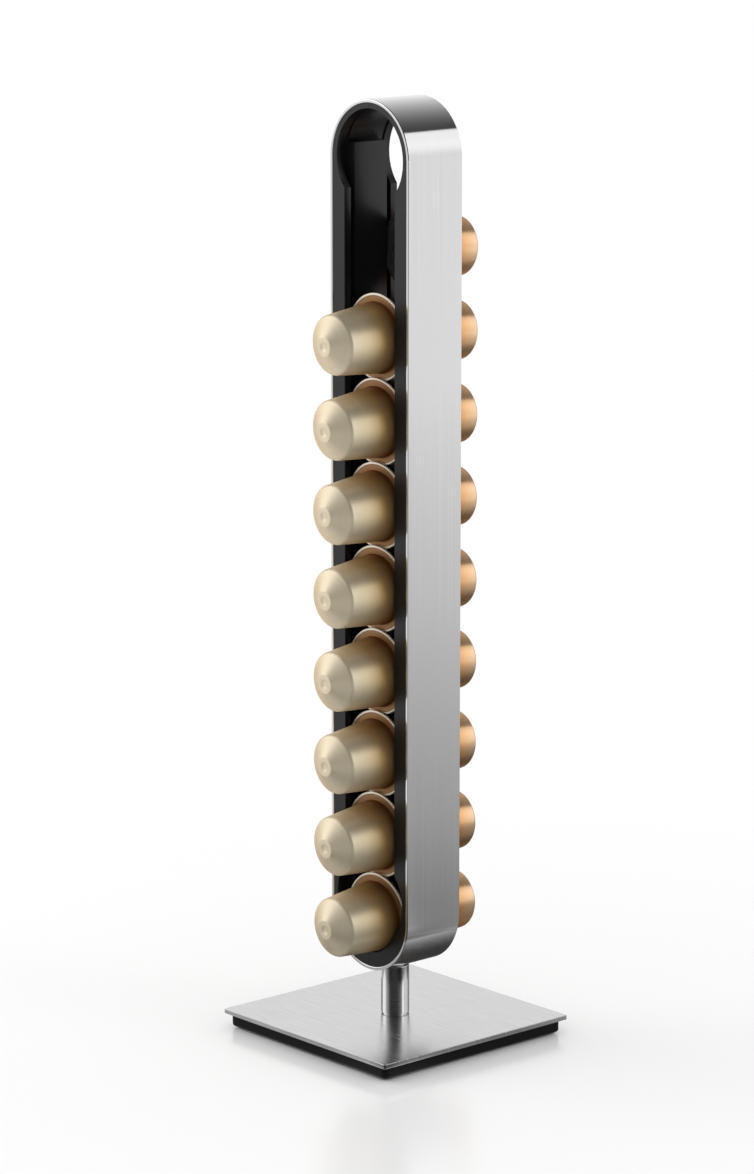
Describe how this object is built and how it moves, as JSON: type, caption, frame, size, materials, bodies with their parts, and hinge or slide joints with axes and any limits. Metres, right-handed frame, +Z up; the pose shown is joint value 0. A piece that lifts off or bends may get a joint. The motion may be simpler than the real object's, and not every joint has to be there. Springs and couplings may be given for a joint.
{
  "type": "coffee capsule holder",
  "caption": "Free-standing coffee capsule tower: an obround steel band round black tracks that hold capsules front and back by their rims, turning on a short post over a square base.",
  "frame": {"origin": "middle of the underside, at the foot of the swivel axis", "axes": "+Z up along the swivel axis, the front column's noses towards -Y, +X to the right seen from the front"},
  "size_m": [0.104, 0.104, 0.3985],
  "materials": {
    "brushed_steel": "brushed",
    "fastener_steel": "zinc plated",
    "track_plastic": "semi-gloss",
    "tray_plastic": "satin",
    "ballast_iron": "raw",
    "foot_rubber": "matte",
    "saddle_aluminium": "die cast",
    "bearing_plastic": "satin",
    "gold_aluminium": "satin anodised",
    "copper_aluminium": "satin anodised",
    "lid_foil": "foil"
  },
  "bodies": {
    "base": {"base_plate": "brushed_steel", "base_tray": "tray_plastic", "ballast_plate": "ballast_iron", "rubber_feet": "foot_rubber", "base_washer": "fastener_steel", "base_bolt": "fastener_steel", "post": "brushed_steel", "swivel_bolt": "fastener_steel"},
    "tower": {"steel_band": "brushed_steel", "left_track_liner": "track_plastic", "right_track_liner": "track_plastic", "pivot_saddle": "saddle_aluminium", "saddle_screws": "fastener_steel", "swivel_bush": "bearing_plastic", "swivel_washer": "bearing_plastic"},
    "front_capsule_1": {"front_capsule_1_cup": "gold_aluminium", "front_capsule_1_lid": "lid_foil"},
    "front_capsule_2": {"front_capsule_2_cup": "gold_aluminium", "front_capsule_2_lid": "lid_foil"},
    "front_capsule_3": {"front_capsule_3_cup": "gold_aluminium", "front_capsule_3_lid": "lid_foil"},
    "front_capsule_4": {"front_capsule_4_cup": "gold_aluminium", "front_capsule_4_lid": "lid_foil"},
    "front_capsule_5": {"front_capsule_5_cup": "gold_aluminium", "front_capsule_5_lid": "lid_foil"},
    "front_capsule_6": {"front_capsule_6_cup": "gold_aluminium", "front_capsule_6_lid": "lid_foil"},
    "front_capsule_7": {"front_capsule_7_cup": "gold_aluminium", "front_capsule_7_lid": "lid_foil"},
    "front_capsule_8": {"front_capsule_8_cup": "gold_aluminium", "front_capsule_8_lid": "lid_foil"},
    "rear_capsule_1": {"rear_capsule_1_cup": "copper_aluminium", "rear_capsule_1_lid": "lid_foil"},
    "rear_capsule_2": {"rear_capsule_2_cup": "copper_aluminium", "rear_capsule_2_lid": "lid_foil"},
    "rear_capsule_3": {"rear_capsule_3_cup": "copper_aluminium", "rear_capsule_3_lid": "lid_foil"},
    "rear_capsule_4": {"rear_capsule_4_cup": "copper_aluminium", "rear_capsule_4_lid": "lid_foil"},
    "rear_capsule_5": {"rear_capsule_5_cup": "copper_aluminium", "rear_capsule_5_lid": "lid_foil"},
    "rear_capsule_6": {"rear_capsule_6_cup": "copper_aluminium", "rear_capsule_6_lid": "lid_foil"},
    "rear_capsule_7": {"rear_capsule_7_cup": "copper_aluminium", "rear_capsule_7_lid": "lid_foil"},
    "rear_capsule_8": {"rear_capsule_8_cup": "copper_aluminium", "rear_capsule_8_lid": "lid_foil"},
    "rear_capsule_9": {"rear_capsule_9_cup": "copper_aluminium", "rear_capsule_9_lid": "lid_foil"}
  },
  "joints": [
    {"name": "tower_swivel", "type": "hinge", "parent": "base", "child": "tower", "pos_m": [0, 0, 0.03], "axis": [0, 0, 1], "continuous": true},
    {"name": "front_capsule_1_slide", "type": "slide", "parent": "tower", "child": "front_capsule_1", "axis": [0, 0, 1], "range_m": [0, 0.074]},
    {"name": "front_capsule_2_slide", "type": "slide", "parent": "tower", "child": "front_capsule_2", "axis": [0, 0, 1], "range_m": [0, 0.074]},
    {"name": "front_capsule_3_slide", "type": "slide", "parent": "tower", "child": "front_capsule_3", "axis": [0, 0, 1], "range_m": [0, 0.074]},
    {"name": "front_capsule_4_slide", "type": "slide", "parent": "tower", "child": "front_capsule_4", "axis": [0, 0, 1], "range_m": [0, 0.074]},
    {"name": "front_capsule_5_slide", "type": "slide", "parent": "tower", "child": "front_capsule_5", "axis": [0, 0, 1], "range_m": [0, 0.074]},
    {"name": "front_capsule_6_slide", "type": "slide", "parent": "tower", "child": "front_capsule_6", "axis": [0, 0, 1], "range_m": [0, 0.074]},
    {"name": "front_capsule_7_slide", "type": "slide", "parent": "tower", "child": "front_capsule_7", "axis": [0, 0, 1], "range_m": [0, 0.074]},
    {"name": "front_capsule_8_slide", "type": "slide", "parent": "tower", "child": "front_capsule_8", "axis": [0, 0, 1], "range_m": [0, 0.074]},
    {"name": "rear_capsule_1_slide", "type": "slide", "parent": "tower", "child": "rear_capsule_1", "axis": [0, 0, 1], "range_m": [0, 0.0387]},
    {"name": "rear_capsule_2_slide", "type": "slide", "parent": "tower", "child": "rear_capsule_2", "axis": [0, 0, 1], "range_m": [0, 0.0387]},
    {"name": "rear_capsule_3_slide", "type": "slide", "parent": "tower", "child": "rear_capsule_3", "axis": [0, 0, 1], "range_m": [0, 0.0387]},
    {"name": "rear_capsule_4_slide", "type": "slide", "parent": "tower", "child": "rear_capsule_4", "axis": [0, 0, 1], "range_m": [0, 0.0387]},
    {"name": "rear_capsule_5_slide", "type": "slide", "parent": "tower", "child": "rear_capsule_5", "axis": [0, 0, 1], "range_m": [0, 0.0387]},
    {"name": "rear_capsule_6_slide", "type": "slide", "parent": "tower", "child": "rear_capsule_6", "axis": [0, 0, 1], "range_m": [0, 0.0387]},
    {"name": "rear_capsule_7_slide", "type": "slide", "parent": "tower", "child": "rear_capsule_7", "axis": [0, 0, 1], "range_m": [0, 0.0387]},
    {"name": "rear_capsule_8_slide", "type": "slide", "parent": "tower", "child": "rear_capsule_8", "axis": [0, 0, 1], "range_m": [0, 0.0387]},
    {"name": "rear_capsule_9_slide", "type": "slide", "parent": "tower", "child": "rear_capsule_9", "axis": [0, 0, 1], "range_m": [0, 0.0387]}
  ],
  "couplings": [
    {"joint": "front_capsule_2_slide", "follows": "front_capsule_1_slide", "ratio": 1},
    {"joint": "front_capsule_3_slide", "follows": "front_capsule_1_slide", "ratio": 1},
    {"joint": "front_capsule_4_slide", "follows": "front_capsule_1_slide", "ratio": 1},
    {"joint": "front_capsule_5_slide", "follows": "front_capsule_1_slide", "ratio": 1},
    {"joint": "front_capsule_6_slide", "follows": "front_capsule_1_slide", "ratio": 1},
    {"joint": "front_capsule_7_slide", "follows": "front_capsule_1_slide", "ratio": 1},
    {"joint": "front_capsule_8_slide", "follows": "front_capsule_1_slide", "ratio": 1},
    {"joint": "rear_capsule_2_slide", "follows": "rear_capsule_1_slide", "ratio": 1},
    {"joint": "rear_capsule_3_slide", "follows": "rear_capsule_1_slide", "ratio": 1},
    {"joint": "rear_capsule_4_slide", "follows": "rear_capsule_1_slide", "ratio": 1},
    {"joint": "rear_capsule_5_slide", "follows": "rear_capsule_1_slide", "ratio": 1},
    {"joint": "rear_capsule_6_slide", "follows": "rear_capsule_1_slide", "ratio": 1},
    {"joint": "rear_capsule_7_slide", "follows": "rear_capsule_1_slide", "ratio": 1},
    {"joint": "rear_capsule_8_slide", "follows": "rear_capsule_1_slide", "ratio": 1},
    {"joint": "rear_capsule_9_slide", "follows": "rear_capsule_1_slide", "ratio": 1}
  ]
}
